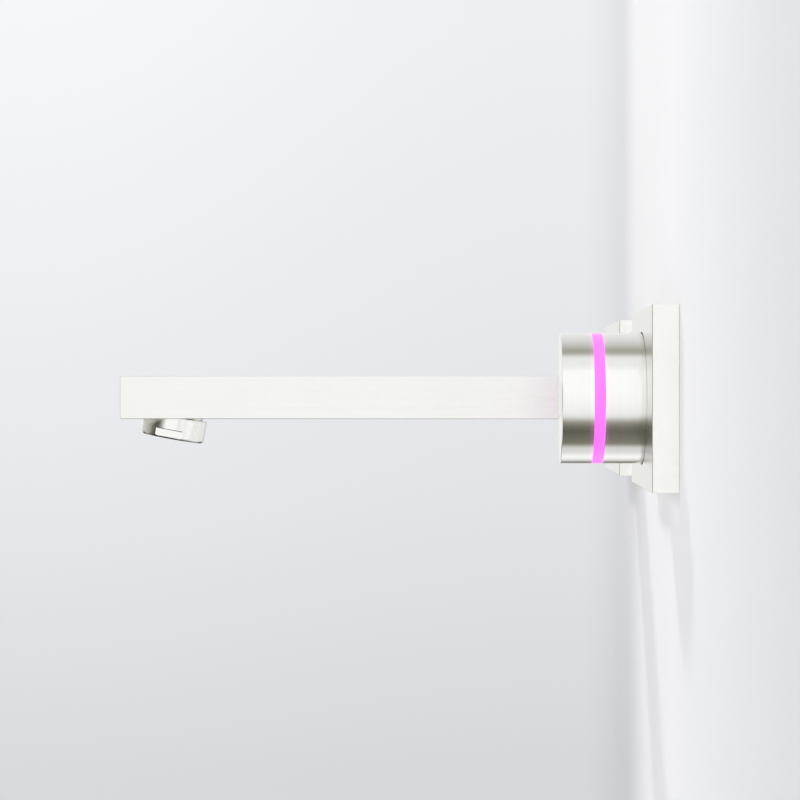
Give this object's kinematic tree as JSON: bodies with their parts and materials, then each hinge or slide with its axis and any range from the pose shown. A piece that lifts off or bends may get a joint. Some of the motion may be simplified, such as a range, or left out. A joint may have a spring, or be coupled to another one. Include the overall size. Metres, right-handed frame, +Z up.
{
  "type": "electronic wall basin tap",
  "caption": "Wall-mounted electronic basin tap with a straight square spout and a round control knob with a glowing ring, each on a flat plate, with the mixing valve in the wall.",
  "frame": {"origin": "middle of the spout's plate, on the wall's face", "axes": "+Z up, +Y into the wall, +X to the right as the user faces the wall; the spout reaches out along -Y and the knob's axis is along Y"},
  "size_m": [0.252, 0.278, 0.0848],
  "materials": {
    "brushed_nickel": "fine brushed nickel",
    "light_diffuser": "translucent, lit from inside",
    "valve_brass": "turned and drilled",
    "copper_pipe": "drawn tube",
    "stainless": "bright",
    "spring_steel": "wire",
    "zinc_steel": "zinc plated",
    "seal_rubber": "matt",
    "gasket_foam": "closed-cell foam",
    "black_plastic": "moulded",
    "pale_plastic": "moulded",
    "gear_plastic": "acetal",
    "ceramic": "lapped",
    "circuit_board": "solder mask",
    "lamp": "small lamps"
  },
  "bodies": {
    "wall_unit": {"aerator_housing": "brushed_nickel", "aerator_insert": "pale_plastic", "aerator_mesh": "stainless", "aerator_socket": "valve_brass", "aerator_washer": "seal_rubber", "cable_gland": "black_plastic", "carrier_screws": "stainless", "cartridge_body": "pale_plastic", "cartridge_nut": "valve_brass", "channel_plug": "valve_brass", "check_valves": "pale_plastic", "control_housing": "black_plastic", "control_plate": "brushed_nickel", "control_plate_carrier": "pale_plastic", "control_plate_gasket": "gasket_foam", "control_stem": "black_plastic", "diaphragm": "seal_rubber", "drive_motor": "zinc_steel", "encoder_body": "black_plastic", "encoder_nut": "stainless", "fixed_disc": "ceramic", "led_board": "circuit_board", "led_chips": "lamp", "main_board": "circuit_board", "motor_bracket": "zinc_steel", "mounting_rail": "zinc_steel", "nipple_o_rings": "seal_rubber", "plunger_spring": "spring_steel", "push_switch": "black_plastic", "return_spring": "spring_steel", "solenoid_bonnet": "valve_brass", "solenoid_coil": "black_plastic", "solenoid_yoke": "zinc_steel", "splash_seal": "seal_rubber", "spout_grub_screw": "stainless", "spout_nipple": "valve_brass", "spout_plate": "brushed_nickel", "spout_plate_carrier": "pale_plastic", "spout_plate_gasket": "gasket_foam", "spout_root_block": "valve_brass", "spout_shell": "brushed_nickel", "stem_screws": "stainless", "switch_board": "circuit_board", "temperature_sensor": "valve_brass", "valve_body": "valve_brass", "valve_screws": "stainless", "valve_standoffs": "zinc_steel", "waterway_tube": "copper_pipe"},
    "knob_rotor": {"encoder_rotor": "pale_plastic"},
    "knob": {"knob_cap": "brushed_nickel", "light_ring": "light_diffuser", "knob_sleeve": "brushed_nickel", "knob_hub": "pale_plastic", "hub_screws": "stainless", "knob_shaft": "stainless"},
    "mixer": {"mixer_spindle": "stainless", "moving_disc": "ceramic", "drive_gear": "gear_plastic"},
    "motor_rotor": {"motor_pinion": "gear_plastic"},
    "plunger": {"solenoid_plunger": "stainless"}
  },
  "joints": [
    {"name": "knob_turn", "type": "hinge", "parent": "wall_unit", "child": "knob_rotor", "pos_m": [0.152, 0, 0], "axis": [0, 1, 0], "continuous": true},
    {"name": "knob_press", "type": "slide", "parent": "knob_rotor", "child": "knob", "axis": [0, 1, 0], "range_m": [0, 0.001], "stiffness_N_per_m": 1500, "springref_m": -0.001, "deforming": ["return_spring"]},
    {"name": "mixer_turn", "type": "hinge", "parent": "wall_unit", "child": "mixer", "pos_m": [0.045, 0.034, 0], "axis": [0, 0, 1], "range_deg": [-45, 45]},
    {"name": "pinion_turn", "type": "hinge", "parent": "wall_unit", "child": "motor_rotor", "pos_m": [0.073, 0.034, 0], "axis": [0, 0, 1], "range_deg": [-112.5, 112.5]},
    {"name": "plunger_lift", "type": "slide", "parent": "wall_unit", "child": "plunger", "axis": [0, 0, 1], "range_m": [0, 0.002], "stiffness_N_per_m": 250, "springref_m": -0.003, "deforming": ["plunger_spring"]}
  ],
  "couplings": [
    {"joint": "pinion_turn", "follows": "mixer_turn", "ratio": -2.5}
  ]
}
